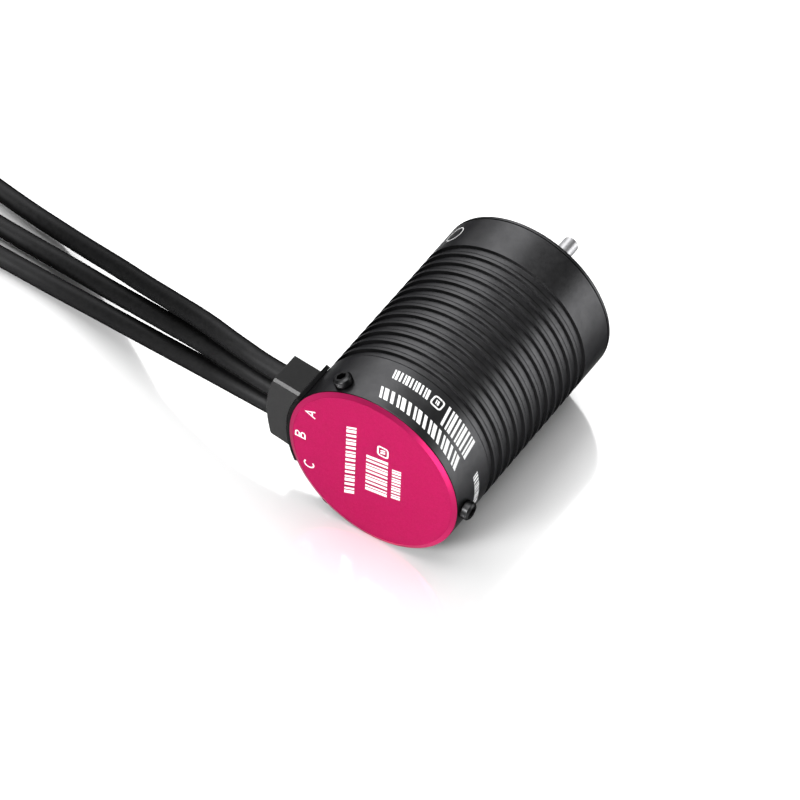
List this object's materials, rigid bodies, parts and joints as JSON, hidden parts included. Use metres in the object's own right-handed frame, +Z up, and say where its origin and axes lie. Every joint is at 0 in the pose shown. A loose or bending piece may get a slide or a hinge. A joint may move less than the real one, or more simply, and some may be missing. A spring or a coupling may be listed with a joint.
{
  "type": "brushless motor",
  "caption": "Small cylindrical brushless motor for model vehicles with a finned black can, a pink rear cover, a plain round output shaft and phase leads ending in bullet plugs.",
  "frame": {"origin": "centre of the underside of the motor's box, leads left out: the can lies on z = 0", "axes": "+Y along the shaft towards the output end, +Z up, leads leave towards -X"},
  "size_m": [0.1883, 0.068, 0.0362],
  "materials": {
    "black_anodised": "satin, bead-blasted and anodised black",
    "pink_anodised": "satin pink anodising",
    "bright_aluminium": "turned",
    "lamination_steel": "stacked electrical steel",
    "insulator_plastic": "moulded",
    "copper_winding": "enamelled copper wire",
    "polished_steel": "ground and polished",
    "brass": "turned",
    "plated_magnet": "nickel plated",
    "carbon_sleeve": "wound fibre",
    "black_oxide_steel": "black oxide",
    "dark_plastic": "moulded, fine texture",
    "silicone_wire": "satin silicone",
    "shrink_sleeve": "satin heat-shrink",
    "gold_plated_brass": "gold plated"
  },
  "bodies": {
    "stator": {"can": "black_anodised", "front_end_plate": "black_anodised", "rear_end_bell": "bright_aluminium", "rear_cover": "pink_anodised", "stator_core": "lamination_steel", "insulator_front": "insulator_plastic", "insulator_rear": "insulator_plastic", "coil_1": "copper_winding", "coil_2": "copper_winding", "coil_3": "copper_winding", "coil_4": "copper_winding", "coil_5": "copper_winding", "coil_6": "copper_winding", "rear_bearing_outer_ring": "polished_steel", "rear_bearing_shield": "polished_steel", "front_bearing_outer_ring": "polished_steel", "front_bearing_shield": "polished_steel", "wave_washer": "polished_steel", "radial_screw_1": "black_oxide_steel", "radial_screw_2": "black_oxide_steel", "radial_screw_3": "black_oxide_steel", "wire_block": "dark_plastic", "phase_lead_a": "silicone_wire", "phase_lead_b": "silicone_wire", "phase_lead_c": "silicone_wire", "heat_shrink_a": "shrink_sleeve", "heat_shrink_b": "shrink_sleeve", "heat_shrink_c": "shrink_sleeve", "bullet_plug_a": "gold_plated_brass", "bullet_plug_b": "gold_plated_brass", "bullet_plug_c": "gold_plated_brass"},
    "rotor": {"shaft": "polished_steel", "rotor_core": "lamination_steel", "magnet_1": "plated_magnet", "magnet_2": "plated_magnet", "magnet_3": "plated_magnet", "magnet_4": "plated_magnet", "magnet_sleeve": "carbon_sleeve", "balance_ring_rear": "brass", "balance_ring_front": "brass", "rear_spacer": "polished_steel", "front_spacer": "polished_steel", "rear_bearing_inner_ring": "polished_steel", "front_bearing_inner_ring": "polished_steel"},
    "rear_cage": {"rear_bearing_cage": "brass", "rear_bearing_ball_1": "polished_steel", "rear_bearing_ball_2": "polished_steel", "rear_bearing_ball_3": "polished_steel", "rear_bearing_ball_4": "polished_steel", "rear_bearing_ball_5": "polished_steel", "rear_bearing_ball_6": "polished_steel", "rear_bearing_ball_7": "polished_steel"},
    "front_cage": {"front_bearing_cage": "brass", "front_bearing_ball_1": "polished_steel", "front_bearing_ball_2": "polished_steel", "front_bearing_ball_3": "polished_steel", "front_bearing_ball_4": "polished_steel", "front_bearing_ball_5": "polished_steel", "front_bearing_ball_6": "polished_steel", "front_bearing_ball_7": "polished_steel"}
  },
  "joints": [
    {"name": "rotor_spin", "type": "hinge", "parent": "stator", "child": "rotor", "pos_m": [0.00227, 0, 0.018], "axis": [0, 1, 0], "continuous": true},
    {"name": "rear_cage_spin", "type": "hinge", "parent": "stator", "child": "rear_cage", "pos_m": [0.00227, -0.02855, 0.018], "axis": [0, 1, 0], "continuous": true},
    {"name": "front_cage_spin", "type": "hinge", "parent": "stator", "child": "front_cage", "pos_m": [0.00227, 0.0152, 0.018], "axis": [0, 1, 0], "continuous": true}
  ],
  "couplings": [
    {"joint": "rear_cage_spin", "follows": "rotor_spin", "ratio": 0.3819},
    {"joint": "front_cage_spin", "follows": "rotor_spin", "ratio": 0.3819}
  ]
}
